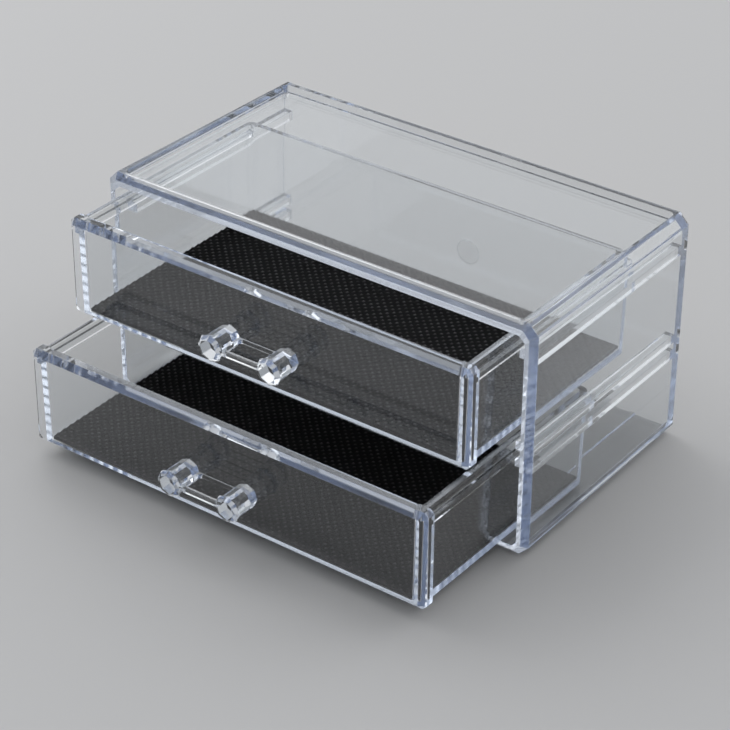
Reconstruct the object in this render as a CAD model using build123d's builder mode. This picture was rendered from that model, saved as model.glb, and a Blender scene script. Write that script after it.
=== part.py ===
# Clear two-drawer makeup organizer: a moulded casing that is open at the front, two moulded
# drawers with bevelled fronts and loop handles, and a dark textured mat in each drawer.
#
# The origin is the centre of the casing's footprint, on the surface it stands on.
# +Z is up and the drawers pull out towards -Y. All lengths are in millimetres.

import os
from math import atan, degrees

from build123d import *

os.makedirs("parts", exist_ok=True)

# Casing, outside
case_width = 240.0
case_depth = 129.0
case_height = 118.6
edge_chamfer = 5.1        # flat at 45 degrees along the four long edges
front_bevel = 3.0         # bevel round the front rim
side_draft = 1.6          # how much each side comes in towards the back, so the mould lets go
top_draft = 0.7           # how much the top comes down towards the back

# Casing, walls
side_wall = 5.1
floor_wall = 4.5
back_wall = 2.7
roof_wall = 2.15          # the sheet left under the recess in the top
recess_depth = 3.7        # the shallow tray in the top, where bottles stand
recess_side_rim = 7.5
recess_back_rim = 2.8
recess_front_rim = 4.6
recess_corner = 3.0
opening_chamfer = 3.0     # small flats in the corners of the opening
gate_diameter = 12.8      # round mark in the middle of the back, where the mould was filled
gate_depth = 0.4

# Drawer fronts in the opening
front_side_gap = 3.2
front_top_gap = 1.25
drawer_gap = 4.7          # from the lower front's top to the upper tray's underside
front_reach = 2.4         # how far a shut drawer's face stands out of the casing
runner_gap = 0.3          # under every sliding face
floor_strip_height = 0.8
floor_strip_width = 3.0
floor_strip_inset = 14.0  # from the outer face of the drawer's side wall

# Drawer front
front_thickness = 7.2
front_lift = 0.8          # from the tray's underside up to the bottom of the front
front_edge_bevel = 2.8
front_corner_chamfer = 2.2

# Drawer tray
tray_inset = 3.8          # from the end of the front to the tray's rim
tray_draft = 0.7          # how much each wall comes in from the rim to the floor
tray_side_wall = 3.0
tray_back_wall = 2.8
tray_floor = 2.6
tray_corner_radius = 3.0
tray_inner_radius = 1.2
tray_back_gap = 0.5       # to the casing's back wall when the drawer is shut
rim_drop = 0.9            # from the top of the front to the tray's rim
flange_drop = 4.45        # from the rim to the runner flange below it
flange_width = 2.1
flange_thickness = 3.0

# Rails inside the casing
rail_height = 5.0
rail_tray_gap = 0.6       # from the tray's rim to the tip of a rail
rail_start_gap = 1.5      # behind the back face of a shut drawer's front
keeper_height = 4.3
keeper_gap = 0.4
rail_root = 2.0           # how deep a rail starts inside the casing's walls

# Handle: two octagonal pegs, each with a wider head, and the loop between them
peg_width = 12.5          # of the head
shaft_width = 10.7
head_length = 2.6         # before it slopes back down to the shaft
peg_length = 15.7
peg_spacing = 32.8
peg_rim_chamfer = 1.8
peg_height = 22.7         # of the peg's axis above the tray's underside
web_thickness = 2.2
web_setback = 1.3         # from the pegs' end faces to the front of the loop
bar_width = 2.4           # the bar that the fingers pull
hole_side_margin = 1.0    # from the shaft to the hole
hole_root_margin = 0.6    # from the drawer front to the hole
hole_radius = 2.5

# Mats
mat_thickness = 2.0
mat_gap = 0.4             # to the walls round it

# How far each drawer is pulled out in the rest pose
upper_pull = 33.4
lower_pull = 63.5

# Worked out from the values above
front_y = -case_depth / 2
back_y = case_depth / 2
opening_width = case_width - 2 * side_wall
ceiling_z = case_height - recess_depth - roof_wall
inner_back_y = back_y - back_wall
lower_bottom_z = floor_wall + floor_strip_height + runner_gap
front_width = opening_width - 2 * front_side_gap
drawer_height = (ceiling_z - front_top_gap - drawer_gap - lower_bottom_z) / 2
front_height = drawer_height - front_lift
upper_bottom_z = lower_bottom_z + drawer_height + drawer_gap
tray_width = front_width - 2 * tray_inset
floor_width = tray_width - 2 * tray_draft
inside_width = floor_width - 2 * tray_side_wall
shut_face_y = front_y - front_reach
drawer_depth = inner_back_y - tray_back_gap - shut_face_y
rim_height = drawer_height - rim_drop
flange_z = rim_height - flange_drop - flange_thickness
draft_angle = degrees(atan(tray_draft / rim_height))
head_slope = (peg_width - shaft_width) / 2
rail_tip = tray_width / 2 + rail_tray_gap
rail_start_y = shut_face_y + front_thickness + rail_start_gap
rail_length = inner_back_y + rail_root - rail_start_y


def at_depth(y):
    """The upright plane at depth y, seen from the front: its x is X and its y is Z."""
    return Plane.XZ.offset(-y)


def tapered_block(front_width, bottom_z, top_z, end_y, corner):
    """A block from the front plane back to end_y. Its sides and its top come in with the draft,
    its underside stays level, and its four long edges are cut at 45 degrees."""
    length = end_y - front_y
    half_front = front_width / 2
    half_end = half_front - side_draft * length / case_depth
    end_top_z = top_z - top_draft * length / case_depth

    with BuildPart() as block:
        with BuildSketch(Plane.XY.offset(bottom_z)):
            with BuildLine():
                Polyline(
                    (-half_front, front_y),
                    (half_front, front_y),
                    (half_end, end_y),
                    (-half_end, end_y),
                    close=True,
                )
            make_face()
        extrude(amount=top_z - bottom_z)
        sloping_top = Plane(
            origin=(0, front_y, top_z), x_dir=(1, 0, 0), z_dir=(0, top_z - end_top_z, length)
        )
        split(bisect_by=sloping_top, keep=Keep.BOTTOM)
        long_edges = block.edges().filter_by(lambda edge: abs(edge.tangent_at(0.5).Y) > 0.9)
        chamfer(long_edges, corner)
    return block.part


# The tub's outside, and the space for the drawers inside it
outside = tapered_block(case_width, 0, case_height, back_y, edge_chamfer)
drawer_space = tapered_block(opening_width, floor_wall, ceiling_z, inner_back_y, opening_chamfer)

# Casing: the tub
with BuildPart() as casing:
    add(outside)
    chamfer(casing.faces().sort_by(Axis.Y)[0].edges(), front_bevel)
    add(drawer_space, mode=Mode.SUBTRACT)

    # the shallow recess in the top
    recess_length = case_depth - recess_front_rim - recess_back_rim
    recess_y = (recess_front_rim - recess_back_rim) / 2
    recess_floor = Plane(
        origin=(0, front_y, case_height - recess_depth),
        x_dir=(1, 0, 0),
        z_dir=(0, top_draft, case_depth),
    )
    with BuildSketch(recess_floor):
        with Locations((0, case_depth / 2 + recess_y)):
            RectangleRounded(case_width - 2 * recess_side_rim, recess_length, recess_corner)
    extrude(amount=2 * recess_depth, mode=Mode.SUBTRACT)

    # rails on both side walls: one under each flange, and a keeper above the lower one
    rails = [(lower_bottom_z + flange_z + flange_thickness + keeper_gap, keeper_height)]
    for bottom_z in (lower_bottom_z, upper_bottom_z):
        rails.append((bottom_z + flange_z - runner_gap - rail_height, rail_height))
    rail_reach = opening_width / 2 + rail_root - rail_tip
    rail_x = rail_tip + rail_reach / 2
    with BuildSketch(at_depth(rail_start_y)):
        for rail_z, height in rails:
            with Locations((-rail_x, rail_z + height / 2), (rail_x, rail_z + height / 2)):
                Rectangle(rail_reach, height)
    extrude(amount=-rail_length)

    # two low strips on the floor, which carry the lower drawer
    strip_x = tray_width / 2 - floor_strip_inset
    with BuildSketch(at_depth(rail_start_y)):
        with Locations((-strip_x, floor_wall), (strip_x, floor_wall)):
            Rectangle(floor_strip_width, 2 * floor_strip_height)
    extrude(amount=-rail_length)

    # the filling mark in the middle of the back
    with BuildSketch(at_depth(back_y)):
        with Locations((0, (case_height - top_draft) / 2)):
            Circle(gate_diameter / 2)
    extrude(amount=gate_depth, mode=Mode.SUBTRACT)

casing.part.label = "casing"
export_step(casing.part, "parts/casing.step")


def build_drawer(face_y, bottom_z):
    """One moulded drawer whose front's flat face lies at face_y, its tray standing on bottom_z."""
    plate_back_y = face_y + front_thickness
    tray_back_y = face_y + drawer_depth
    tray_length = tray_back_y - plate_back_y
    peg_z = bottom_z + peg_height

    with BuildPart() as drawer:
        # the front, bevelled round its face
        with BuildSketch(at_depth(plate_back_y)):
            with Locations((0, bottom_z + front_lift + front_height / 2)):
                outline = Rectangle(front_width, front_height)
            chamfer(outline.vertices(), front_corner_chamfer)
        extrude(amount=front_thickness)
        chamfer(drawer.faces().sort_by(Axis.Y)[0].edges(), front_edge_bevel)

        # the tray behind it, with rounded back corners, opening a little towards its rim
        floor_length = tray_length - tray_draft
        with BuildSketch(Plane.XY.offset(bottom_z)):
            with Locations((0, plate_back_y + floor_length / 2)):
                tray = Rectangle(floor_width, floor_length)
            fillet(tray.vertices().group_by(Axis.Y)[-1], tray_corner_radius)
        extrude(amount=rim_height, taper=-draft_angle)

        # the flange along both sides
        with BuildSketch(Plane.XY.offset(bottom_z + flange_z)):
            with Locations((0, plate_back_y + tray_length / 2)):
                flange = Rectangle(tray_width + 2 * flange_width, tray_length)
            fillet(flange.vertices().group_by(Axis.Y)[-1], tray_corner_radius)
        extrude(amount=flange_thickness)

        # the inside
        inside_length = floor_length - tray_back_wall
        with BuildSketch(Plane.XY.offset(bottom_z + tray_floor)):
            with Locations((0, plate_back_y + inside_length / 2)):
                inside = Rectangle(inside_width, inside_length)
            fillet(inside.vertices(), tray_inner_radius)
        extrude(amount=rim_height, taper=-draft_angle, mode=Mode.SUBTRACT)

        # the pegs: the shaft, and the head with its slope back to the shaft
        head_y = face_y - peg_length + head_length
        for width, start_y, length, taper in (
            (shaft_width, face_y, peg_length, 0),
            (peg_width, head_y, head_length, 0),
            (shaft_width, head_y + head_slope, head_slope, -45),
        ):
            with BuildSketch(at_depth(start_y)):
                with Locations((-peg_spacing / 2, peg_z), (peg_spacing / 2, peg_z)):
                    RegularPolygon(width / 2, 8, major_radius=False)
            extrude(amount=length, taper=taper)
        chamfer(drawer.faces().group_by(Axis.Y)[0].edges(), peg_rim_chamfer)

        # the loop between them
        web_length = peg_length - web_setback
        with BuildSketch(Plane.XY.offset(peg_z - web_thickness / 2)):
            with Locations((0, face_y - web_length / 2)):
                Rectangle(peg_spacing, web_length)
            hole_width = peg_spacing - shaft_width - 2 * hole_side_margin
            hole_length = web_length - bar_width - hole_root_margin
            with Locations((0, face_y - hole_root_margin - hole_length / 2)):
                RectangleRounded(hole_width, hole_length, hole_radius, mode=Mode.SUBTRACT)
        extrude(amount=web_thickness)
    return drawer


def build_mat(face_y, bottom_z):
    """The loose mat on the floor of the drawer that build_drawer makes from the same values."""
    plate_back_y = face_y + front_thickness
    inside_length = drawer_depth - front_thickness - tray_draft - tray_back_wall

    with BuildPart() as mat:
        with BuildSketch(Plane.XY.offset(bottom_z + tray_floor)):
            with Locations((0, plate_back_y + inside_length / 2)):
                Rectangle(inside_width - 2 * mat_gap, inside_length - 2 * mat_gap)
        extrude(amount=mat_thickness)
    return mat


# Drawers and mats, pulled out by different lengths
for level, pull, bottom_z in (
    ("upper", upper_pull, upper_bottom_z),
    ("lower", lower_pull, lower_bottom_z),
):
    face_y = shut_face_y - pull
    drawer = build_drawer(face_y, bottom_z)
    drawer.part.label = level + "_drawer"
    export_step(drawer.part, "parts/" + level + "_drawer.step")
    mat = build_mat(face_y, bottom_z)
    mat.part.label = level + "_mat"
    export_step(mat.part, "parts/" + level + "_mat.step")
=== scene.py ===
# %% [markdown]
# # A clear make-up organizer with two drawers
#
# The organizer is five loose things: a clear moulded casing that is open at the front, two clear
# moulded drawers, and a soft black mat in each drawer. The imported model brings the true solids.
# This lesson gives them the finish that the real ones have, and it starts with that model.

from math import cos, pi, radians, sin

import bmesh
import bpy
from mathutils import Matrix, Vector


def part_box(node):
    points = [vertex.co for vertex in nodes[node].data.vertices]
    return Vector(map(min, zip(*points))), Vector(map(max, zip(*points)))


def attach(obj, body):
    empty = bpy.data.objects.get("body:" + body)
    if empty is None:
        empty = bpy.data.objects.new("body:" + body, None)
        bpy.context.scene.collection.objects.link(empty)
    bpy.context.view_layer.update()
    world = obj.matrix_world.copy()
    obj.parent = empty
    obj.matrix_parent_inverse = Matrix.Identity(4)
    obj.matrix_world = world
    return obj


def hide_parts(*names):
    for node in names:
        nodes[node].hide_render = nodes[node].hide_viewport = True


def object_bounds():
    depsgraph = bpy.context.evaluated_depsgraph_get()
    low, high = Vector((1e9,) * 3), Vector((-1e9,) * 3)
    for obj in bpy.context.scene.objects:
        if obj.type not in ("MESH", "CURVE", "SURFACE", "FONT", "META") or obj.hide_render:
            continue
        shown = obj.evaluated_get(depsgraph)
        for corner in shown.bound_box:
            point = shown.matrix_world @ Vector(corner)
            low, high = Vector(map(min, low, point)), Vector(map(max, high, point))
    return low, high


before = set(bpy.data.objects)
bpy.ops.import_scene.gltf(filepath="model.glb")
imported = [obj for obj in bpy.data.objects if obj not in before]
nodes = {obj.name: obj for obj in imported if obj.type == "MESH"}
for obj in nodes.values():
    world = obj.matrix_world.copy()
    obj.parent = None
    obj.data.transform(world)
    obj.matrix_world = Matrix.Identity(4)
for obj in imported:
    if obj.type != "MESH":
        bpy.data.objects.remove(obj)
cad_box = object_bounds()
print("nodes:", sorted(nodes))
print("box in metres:", [tuple(round(x, 4) for x in corner) for corner in cad_box])

# %% [markdown]
# ## One millimetre
#
# Blender works in metres and a maker of small plastic things thinks in millimetres. One short
# name for a millimetre keeps every size below readable.

# %% A millimetre
MM = 0.001
print("one millimetre is", MM, "metres")

# %% [markdown]
# ## Nodes in a few words
#
# A material is a tree of nodes: coordinates go in at one end and a shader gives the surface at the
# other. It could be drawn by hand in the node editor. Written down it stays exact, but each node
# takes several lines, so the steps that every tree here repeats get a short helper: start a
# material, find a node, add a node with its inputs set, and add noise, a bump or a range.

# %% Helpers for nodes
def find_node(tree, kind):
    """The first node of that kind in a tree."""
    return next(node for node in tree.nodes if node.type == kind)


def fresh_material(name):
    """A new node material, its tree and its Principled shader."""
    material = bpy.data.materials.new(name)
    material.use_nodes = True
    tree = material.node_tree
    return material, tree, find_node(tree, "BSDF_PRINCIPLED")


def add_node(tree, kind, **values):
    """A node of that kind, with the named inputs set. Underscores in a name stand for spaces."""
    node = tree.nodes.new(kind)
    for name, value in values.items():
        node.inputs[name.replace("_", " ")].default_value = value
    return node


def add_noise(tree, source, **values):
    """A noise node that is read at the source's coordinates."""
    noise = add_node(tree, "ShaderNodeTexNoise", **values)
    tree.links.new(source, noise.inputs["Vector"])
    return noise


def add_bump(tree, height, **values):
    """A bump node that bends the surface's normal by a height."""
    bump = add_node(tree, "ShaderNodeBump", **values)
    tree.links.new(height, bump.inputs["Height"])
    return bump


def add_range(tree, source, old, new):
    """The source's number, carried from the old range to the new one and held at its ends."""
    carried = add_node(
        tree, "ShaderNodeMapRange", From_Min=old[0], From_Max=old[1], To_Min=new[0], To_Max=new[1]
    )
    tree.links.new(source, carried.inputs["Value"])
    return carried.outputs["Result"]


print("helpers for nodes are ready")

# %% [markdown]
# ## Clear polished plastic
#
# Boxes of this kind are usually moulded from clear polystyrene, so it is taken here too: it
# bends light a little more than acrylic does, and it is almost colourless, with a cool cast
# where the eye looks along a long stretch of it. A Principled shader with full transmission
# gives the surface, and a thin absorption in the volume gives the cast, so that thick edges look
# deeper than thin walls.
#
# The mould is polished, but not perfectly. It leaves slow waves, which bend reflections, and
# handling leaves a few fine rubbed marks. Both are noise on Object coordinates. Even between the
# marks the plastic is a trace rough. One look through a wall doesn't show it, but light that runs
# inside the wall meets its surfaces dozens of times and comes out of the edge smoothed.

# %% The clear plastic
PLASTIC_COLOR = (0.965, 0.978, 0.985, 1)
PLASTIC_IOR = 1.58
CAST_COLOR = (0.74, 0.82, 0.96, 1)
CAST_DENSITY = 5
WAVE_DEPTH = 0.02 * MM
RUBS_PER_METRE = (900, 60, 900)
RUBS_TURN = (0, 0, radians(24))
RUBBED_FROM = (0.55, 0.8)
PLASTIC_ROUGHNESS = (0.03, 0.06)


def make_clear_plastic(name, wave_seed):
    """Clear moulded plastic with slow waves and fine rubbed marks."""
    material, tree, shader = fresh_material(name)
    shader.inputs["Base Color"].default_value = PLASTIC_COLOR
    shader.inputs["Transmission Weight"].default_value = 1
    shader.inputs["IOR"].default_value = PLASTIC_IOR

    place = tree.nodes.new("ShaderNodeTexCoord").outputs["Object"]
    waves = add_noise(tree, place, Scale=28, Detail=1.5)
    waves.noise_dimensions = "4D"
    waves.inputs["W"].default_value = wave_seed
    wavy = add_bump(tree, waves.outputs["Fac"], Strength=0.03, Distance=WAVE_DEPTH)
    tree.links.new(wavy.outputs["Normal"], shader.inputs["Normal"])

    along = add_node(tree, "ShaderNodeMapping", Scale=RUBS_PER_METRE, Rotation=RUBS_TURN)
    tree.links.new(place, along.inputs["Vector"])
    rubs = add_noise(tree, along.outputs["Vector"], Scale=1, Detail=3)
    rubbed = add_range(tree, rubs.outputs["Fac"], RUBBED_FROM, PLASTIC_ROUGHNESS)
    tree.links.new(rubbed, shader.inputs["Roughness"])

    cast = add_node(tree, "ShaderNodeVolumeAbsorption", Color=CAST_COLOR, Density=CAST_DENSITY)
    output = find_node(tree, "OUTPUT_MATERIAL")
    tree.links.new(cast.outputs["Volume"], output.inputs["Volume"])
    return material


casing_plastic = make_clear_plastic("clear_casing_plastic", wave_seed=1)
drawer_plastic = make_clear_plastic("clear_drawer_plastic", wave_seed=5)
print("clear plastics:", casing_plastic.name, drawer_plastic.name)

# %% [markdown]
# ## The mark where the mould was filled
#
# In the middle of the casing's back there is a round mark, where the plastic flowed in and the
# sprue was cut off. It is slightly sunk and not polished, so it shows as a pale frosted disc. The
# solid already has the sunk disc. It could be cut off as a piece with a material of its own, but a
# seam in clear plastic shows. So its finish is the casing's plastic with a higher roughness and a
# torn grain, and two measurements pick the place out: how far a point is from the disc's axis,
# and how far back it is.

# %% Frost the mark
CASING_BACK, CASING_TOP = cad_box[1][1], cad_box[1][2]
TOP_DRAFT = 0.7 * MM  # how far the casing's top comes down towards its back
MARK_HEIGHT = (CASING_TOP - TOP_DRAFT) / 2
MARK_RADIUS = 6.4 * MM
MARK_ZONE = 1 * MM  # only what lies this near to the back's outside is frosted
MARK_ROUGHNESS = 0.5
MARK_GRAIN = 0.3 * MM


def add_math(tree, kind, first, second):
    """The result of a Math node on a socket and on a second socket or a number."""
    node = tree.nodes.new("ShaderNodeMath")
    node.operation = kind
    tree.links.new(first, node.inputs[0])
    if isinstance(second, bpy.types.NodeSocket):
        tree.links.new(second, node.inputs[1])
    else:
        node.inputs[1].default_value = second
    return node.outputs["Value"]


def find_mark(tree, place):
    """A number that is 1 on the mark and 0 elsewhere."""
    centred = add_node(tree, "ShaderNodeMapping", Location=(0, 0, -MARK_HEIGHT), Scale=(1, 0, 1))
    tree.links.new(place, centred.inputs["Vector"])
    from_axis = tree.nodes.new("ShaderNodeVectorMath")
    from_axis.operation = "LENGTH"
    tree.links.new(centred.outputs["Vector"], from_axis.inputs[0])
    depth = tree.nodes.new("ShaderNodeSeparateXYZ")
    tree.links.new(place, depth.inputs["Vector"])
    near = add_math(tree, "LESS_THAN", from_axis.outputs["Value"], MARK_RADIUS)
    far_back = add_math(tree, "GREATER_THAN", depth.outputs["Y"], CASING_BACK - MARK_ZONE)
    return add_math(tree, "MULTIPLY", near, far_back)


def frost_mark(material):
    """Make the casing's plastic rough and grained inside the mark on its back."""
    tree = material.node_tree
    shader = find_node(tree, "BSDF_PRINCIPLED")
    polished = shader.inputs["Roughness"].links[0].from_socket
    waves = shader.inputs["Normal"].links[0].from_socket
    place = tree.nodes.new("ShaderNodeTexCoord").outputs["Object"]
    on_mark = find_mark(tree, place)

    frosted = tree.nodes.new("ShaderNodeMix")
    tree.links.new(on_mark, frosted.inputs["Factor"])
    tree.links.new(polished, frosted.inputs["A"])
    frosted.inputs["B"].default_value = MARK_ROUGHNESS
    tree.links.new(frosted.outputs["Result"], shader.inputs["Roughness"])

    grain = add_noise(tree, place, Scale=700, Detail=3, Roughness=0.6)
    torn = add_bump(tree, grain.outputs["Fac"], Distance=MARK_GRAIN)
    tree.links.new(on_mark, torn.inputs["Strength"])
    tree.links.new(waves, torn.inputs["Normal"])
    tree.links.new(torn.outputs["Normal"], shader.inputs["Normal"])


frost_mark(casing_plastic)
print("mark of radius", MARK_RADIUS / MM, "mm at height", round(MARK_HEIGHT / MM, 2), "mm")

# %% [markdown]
# ## Softened edges
#
# No moulded edge is sharp. Its tiny radius is what catches the light and draws the bright lines
# round every rim, and clear plastic is seen mostly by those lines. The model's flat faces come
# as loose triangles, so a copy of them is merged and its flat faces are joined first. Then the
# Bevel modifier rounds each edge. The big faces stay flat-shaded, because a normal that leans
# even a little would bend everything seen through them. Only the narrow strips that make up a
# round corner are shaded smooth.

# %% Helpers for pieces
def finish_mesh(shape, name, material):
    """The bmesh as a mesh with that name and material. The bmesh is freed."""
    mesh = bpy.data.meshes.new(name)
    shape.to_mesh(mesh)
    shape.free()
    mesh.materials.append(material)
    return mesh


def put_in_scene(name, data):
    """An object with that name and data, at the origin of the scene."""
    item = bpy.data.objects.new(name, data)
    bpy.context.scene.collection.objects.link(item)
    return item


print("helpers for pieces are ready")

# %% Round the edges of the clear mouldings
EDGE_RADIUS = 0.3 * MM
SHARP_ANGLE = radians(22)
LEAST_BEND = 0.01  # in radians, so that two halves of one flat face don't count
STRIP_AREA = 90 * MM * MM
MERGE_DISTANCE = 0.002 * MM
FLAT_ANGLE = radians(0.8)


def is_round_strip(face):
    """True for a narrow face that meets a neighbour at a small angle, as on a round corner."""
    gentle = (LEAST_BEND < edge.calc_face_angle(0) < SHARP_ANGLE for edge in face.edges)
    return face.calc_area() < STRIP_AREA and any(gentle)


def soften_moulding(node_name, piece_name, body, material):
    """A copy of a packed moulding with its edges rounded, which stands for that node."""
    shape = bmesh.new()
    shape.from_mesh(nodes[node_name].data)
    bmesh.ops.remove_doubles(shape, verts=shape.verts, dist=MERGE_DISTANCE)
    bmesh.ops.dissolve_limit(
        shape, angle_limit=FLAT_ANGLE, verts=shape.verts, edges=shape.edges
    )
    bmesh.ops.recalc_face_normals(shape, faces=shape.faces)
    for face in shape.faces:
        face.smooth = is_round_strip(face)
    mesh = finish_mesh(shape, piece_name, material)
    piece = put_in_scene(piece_name, mesh)

    rounding = piece.modifiers.new("edge_rounding", "BEVEL")
    rounding.width = EDGE_RADIUS
    rounding.segments = 2
    rounding.limit_method = "ANGLE"
    rounding.angle_limit = SHARP_ANGLE
    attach(piece, body)
    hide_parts(node_name)
    print(piece_name, "has", len(mesh.polygons), "faces before its edges are rounded")
    return piece


casing = soften_moulding("casing", "casing_moulding", "casing", casing_plastic)
for level in ("upper", "lower"):
    name = level + "_drawer"
    drawer = soften_moulding(name, name + "_moulding", name, drawer_plastic)

# %% [markdown]
# ## The black of the mats
#
# Each drawer holds a soft black mat with small raised lozenges. The top of a lozenge is pressed
# smooth and shines a little, while the ground between is dull. The roughness gives that shine, and
# the colour adds to it: a painted highlight makes the tops paler and painted shade makes the
# ground between darker. Noise alone wouldn't follow the lozenges, so each point of the mesh will
# keep how far up a lozenge it is, as an attribute, and the material reads that number for its
# colour and its roughness. Foam is never quite flat, so slow noise makes the painted highlight
# paler on some lozenges than on their neighbours, and fine noise gives it pores.

# %% Mix the black of the mats
RISE = "rise"
FULL_RANGE = (0, 1)
PATCHES_FROM = (0.35, 0.65)
PATCHES_TO = (0.3, 1)
# The ground's darker black is painted shade between the lozenges, and the top's paler black is a
# painted highlight on them.
MAT_GROUND_PAINTED_SHADE = (0.1, (0.004, 0.004, 0.0045, 1))
MAT_TOP_PAINTED_HIGHLIGHT = (1, (0.09, 0.09, 0.095, 1))
MAT_ROUGHNESS = (0.85, 0.3)
PORE_DEPTH = 0.12 * MM


def add_ramp(tree, source, dark, pale):
    """A colour between a dark and a pale end. Each end is a place on the scale and a colour."""
    ramp = tree.nodes.new("ShaderNodeValToRGB")
    for end, (position, color) in zip(ramp.color_ramp.elements, (dark, pale)):
        end.position = position
        end.color = color
    tree.links.new(source, ramp.inputs["Fac"])
    return ramp.outputs["Color"]


def make_mat_black():
    """Soft black foam, less rough on top of the lozenges, with a painted highlight there and
    painted shade between them.
    """
    material, tree, shader = fresh_material("mat_black_foam")
    place = tree.nodes.new("ShaderNodeTexCoord").outputs["Object"]
    attribute = tree.nodes.new("ShaderNodeAttribute")
    attribute.attribute_name = RISE
    rise = attribute.outputs["Fac"]

    patches = add_noise(tree, place, Scale=170, Detail=1)
    # The painted highlight grows with a lozenge's rise, and slow noise makes its strength patchy.
    highlight_patchiness = add_range(tree, patches.outputs["Fac"], PATCHES_FROM, PATCHES_TO)
    painted_highlight = add_math(tree, "MULTIPLY", rise, highlight_patchiness)
    tree.links.new(add_ramp(tree, painted_highlight, MAT_GROUND_PAINTED_SHADE, MAT_TOP_PAINTED_HIGHLIGHT), shader.inputs["Base Color"])
    tree.links.new(add_range(tree, rise, FULL_RANGE, MAT_ROUGHNESS), shader.inputs["Roughness"])
    shader.inputs["Specular IOR Level"].default_value = 0.3

    grain = add_noise(tree, place, Scale=2600, Detail=4, Roughness=0.6)
    pores = add_bump(tree, grain.outputs["Fac"], Strength=0.35, Distance=PORE_DEPTH)
    tree.links.new(pores.outputs["Normal"], shader.inputs["Normal"])
    return material


mat_black = make_mat_black()
print("mat material:", mat_black.name)

# %% [markdown]
# ## The lozenges
#
# They stand in staggered rows. Hundreds of small solids could be laid out one by one, but they
# would be heavy and would need joining. The product of two cosines is high in every second cell of
# a chequerboard, which is just the staggered pattern, so one formula gives the height anywhere.

# %% The height of a lozenge
LOZENGE_PITCH = 2.2 * MM
LOZENGE_FOOT = 0.3  # the product of cosines at which a lozenge starts to rise
LOZENGE_STEEPNESS = 1.5


def lozenge(x, y):
    """How far a point is up a lozenge, from 0 between them to 1 on top."""
    cell = cos(pi * x / LOZENGE_PITCH) * cos(pi * y / LOZENGE_PITCH)
    rise = min(max((cell - LOZENGE_FOOT) * LOZENGE_STEEPNESS, 0), 1)
    return rise * rise * (3 - 2 * rise)


print("rise at a lozenge's middle:", lozenge(0, 0), "and one cell on:", lozenge(LOZENGE_PITCH, 0))

# %% [markdown]
# ## The mats
#
# A mat looks as if it were cut from a roll: its ends run through the lozenges and are scalloped. A
# fine grid of the mat's size is moved point by point, and then its rim is extruded down to the
# drawer's floor and closed there.
#
# The sides stop a hair above that floor. Foam lies on plastic with a film of air between, and the
# light that runs inside the drawer's floor needs that air to be turned back. If the two faces
# shared one plane, the black would drink that light and the drawer's clear edges would go dark.

# %% Shape the top of a mat
LOZENGE_HEIGHT = 0.6 * MM
GRID_STEP = 0.5 * MM
SCALLOP = 0.35 * MM
SCALLOP_WAVE = 2 * LOZENGE_PITCH
SCALLOP_FADE = 40  # the higher, the nearer to the ends the scallops stay


def raise_lozenges(low, high):
    """A grid from the low to the high corner, with raised lozenges and scalloped ends."""
    size, middle = high - low, (high + low) / 2
    across, along = (round(length / GRID_STEP) for length in (size.x, size.y))
    shape = bmesh.new()
    bmesh.ops.create_grid(shape, x_segments=across, y_segments=along, size=0.5)
    rise = shape.verts.layers.float.new(RISE)
    for point in shape.verts:
        u, v = point.co.x, point.co.y
        x, y = u * (size.x - 2 * SCALLOP), v * (size.y - 2 * SCALLOP)
        wave = 0.5 + 0.5 * sin(2 * pi * y / SCALLOP_WAVE)
        x += 2 * u * SCALLOP * wave * abs(2 * u) ** SCALLOP_FADE
        point[rise] = lozenge(x, y)
        z = high.z - LOZENGE_HEIGHT + LOZENGE_HEIGHT * point[rise]
        point.co = (middle.x + x, middle.y + y, z)
    return shape


print("a mat's grid has a step of", GRID_STEP / MM, "mm")

# %% Close a mat and lay it in its drawer
AIR_FILM = 0.05 * MM
UPWARDS = 0.2  # a face whose normal rises more than this belongs to the top


def close_mat(shape, bottom):
    """Extrude the rim down to the bottom, close the mat there and shade its top smooth."""
    rise = shape.verts.layers.float[RISE]
    rim = [edge for edge in shape.edges if edge.is_boundary]
    lowered = bmesh.ops.extrude_edge_only(shape, edges=rim)["geom"]
    for point in lowered:
        if isinstance(point, bmesh.types.BMVert):
            point.co.z = bottom
            point[rise] = 0
    underside = [item for item in lowered if isinstance(item, bmesh.types.BMEdge)]
    bmesh.ops.contextual_create(shape, geom=underside)
    bmesh.ops.recalc_face_normals(shape, faces=shape.faces)
    for face in shape.faces:
        face.smooth = len(face.verts) == 4 and face.normal.z > UPWARDS


def make_mat(node_name, piece_name, body):
    """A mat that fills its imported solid: flat below, lozenges on top, scalloped ends."""
    low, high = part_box(node_name)
    shape = raise_lozenges(low, high)
    close_mat(shape, low.z + AIR_FILM)
    mesh = finish_mesh(shape, piece_name, mat_black)
    piece = put_in_scene(piece_name, mesh)
    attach(piece, body)
    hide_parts(node_name)
    print(piece_name, "has", len(mesh.polygons), "faces")


for level in ("upper", "lower"):
    make_mat(level + "_mat", level + "_lozenge_mat", level + "_drawer")

# %% [markdown]
# ## The floor
#
# Clear plastic shows what is round it, so a plain floor suits it best. A sheet of one pale grey
# is enough. It could touch the casing, but then it would drink the light inside the casing's
# floor as the mats would in a drawer's. So it lies the same film of air below.

# %% A pale floor
FLOOR_REACH = 6  # in metres, from the middle to each side
FLOOR_COLOR = (0.56, 0.56, 0.56, 1)
FLOOR_ROUGHNESS = 0.6


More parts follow.
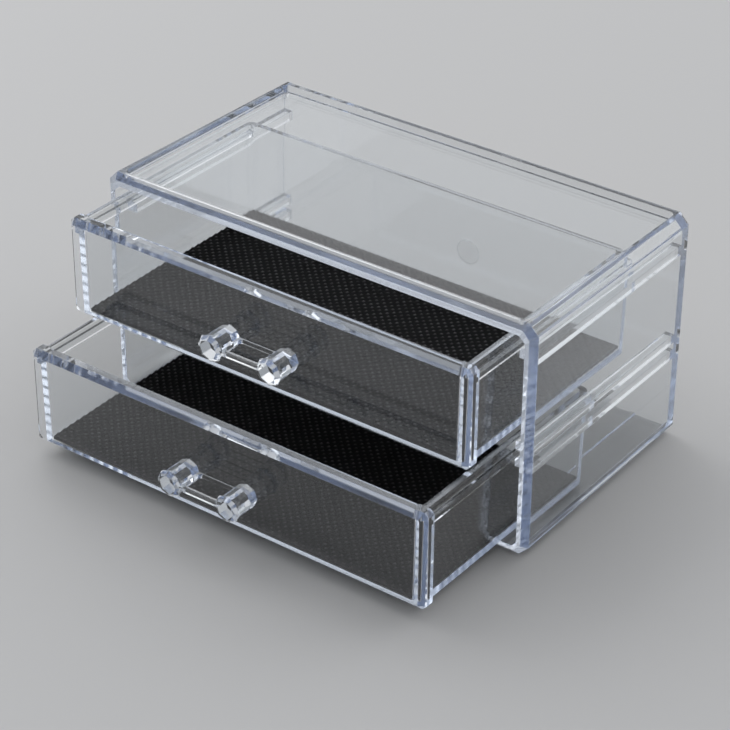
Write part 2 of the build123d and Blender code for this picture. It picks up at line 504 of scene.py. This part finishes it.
def make_floor():
    """A wide pale floor under the object."""
    material, _, shader = fresh_material("pale_floor")
    shader.inputs["Base Color"].default_value = FLOOR_COLOR
    shader.inputs["Roughness"].default_value = FLOOR_ROUGHNESS
    shape = bmesh.new()
    bmesh.ops.create_grid(shape, x_segments=1, y_segments=1, size=FLOOR_REACH)
    bmesh.ops.translate(shape, verts=shape.verts, vec=(0, 0, -AIR_FILM))
    floor = put_in_scene("floor", finish_mesh(shape, "floor", material))
    print("floor:", floor.name)


make_floor()

# %% [markdown]
# ## A soft dome
#
# The room matters more to clear plastic than the lamps do. A room could be built with walls, but
# a dome needs only a colour for each direction. It is bright overhead and behind the object, and
# greyer near the horizon and on the side of the eye. Bevels send the light of that side straight
# back to the eye, so they stay a shade darker than the room seen through the walls.

# %% Colour the dome
BRIGHT_SIDE = (-0.15, 0.35, 0.9)
DOME_DARK = (0, (0.28, 0.287, 0.3, 1))
DOME_PALE = (0.75, (0.85, 0.86, 0.88, 1))
DOME_STRENGTH = 0.9


def make_dome():
    """A world whose light grows towards the bright side."""
    world = bpy.data.worlds.new("soft_dome")
    world.use_nodes = True
    tree = world.node_tree
    direction = tree.nodes.new("ShaderNodeTexCoord").outputs["Generated"]
    towards = tree.nodes.new("ShaderNodeVectorMath")
    towards.operation = "DOT_PRODUCT"
    towards.inputs[1].default_value = BRIGHT_SIDE
    tree.links.new(direction, towards.inputs[0])
    tones = add_ramp(tree, towards.outputs["Value"], DOME_DARK, DOME_PALE)
    background = find_node(tree, "BACKGROUND")
    background.inputs["Strength"].default_value = DOME_STRENGTH
    tree.links.new(tones, background.inputs["Color"])
    return world


bpy.context.scene.world = make_dome()
print("world:", bpy.context.scene.world.name)

# %% [markdown]
# ## Two soft boxes
#
# An edge sparkles where it mirrors something brighter than the dome. Small lamps would show in it
# as hard dots, so two large square ones are used, as in a studio: one from the left and one from
# behind.

# %% Hang the soft boxes
LAMP_AIM = Vector((0, 0, 50)) * MM


def add_soft_box(name, place, size, watts):
    """A square lamp at place that points at the object."""
    lamp = bpy.data.lights.new(name, "AREA")
    lamp.size = size
    lamp.energy = watts
    box = put_in_scene(name, lamp)
    box.location = place
    box.rotation_euler = (LAMP_AIM - box.location).to_track_quat("-Z", "Y").to_euler()


add_soft_box("key_box", place=(-1.1, 0.1, 1.1), size=1.6, watts=8)
add_soft_box("rim_box", place=(0.6, 1.3, 0.9), size=1.4, watts=4)
print("lamps:", [lamp.name for lamp in bpy.data.lights])

# %% [markdown]
# ## The camera
#
# The eye is to the right of the object and above it, far enough away that a long lens suits it.
# A camera is easiest to place by the point that it looks at, the two angles it looks from, and
# how far away it stands. A small roll tips the picture as a hand-held one is tipped.

# %% Place the camera
CAMERA_AZIMUTH = radians(36.52)
CAMERA_ELEVATION = radians(31.465)
CAMERA_ROLL = radians(0.431)
CAMERA_DISTANCE = 1.25
CAMERA_TARGET = Vector((-27.6, 15.3, 7.9)) * MM
LENS = 125.5

level_reach = cos(CAMERA_ELEVATION)
away = Vector(
    (sin(CAMERA_AZIMUTH) * level_reach, -cos(CAMERA_AZIMUTH) * level_reach, sin(CAMERA_ELEVATION))
)
turn = (-away).to_track_quat("-Z", "Y").to_matrix() @ Matrix.Rotation(CAMERA_ROLL, 3, "Z")
camera_data = bpy.data.cameras.new("camera")
camera_data.lens = LENS
camera = put_in_scene("camera", camera_data)
camera.matrix_world = Matrix.Translation(CAMERA_TARGET + CAMERA_DISTANCE * away) @ turn.to_4x4()
bpy.context.scene.camera = camera
print("camera at", tuple(round(x, 3) for x in camera.matrix_world.translation))

# %% [markdown]
# ## Light through many walls
#
# A ray that crosses the front, a drawer and the back of the casing meets a dozen surfaces, and
# one that is caught inside a wall runs its whole length from side to side before it comes out at
# the far edge. The renderer stops after a set number of crossings and draws black, so the number
# is raised until the edges show the light that the walls carry to them.

# %% Finish
CROSSINGS = 160

scene = bpy.context.scene
scene.view_settings.view_transform = "Standard"
scene.cycles.max_bounces = CROSSINGS
scene.cycles.transmission_bounces = CROSSINGS
scene.cycles.glossy_bounces = CROSSINGS
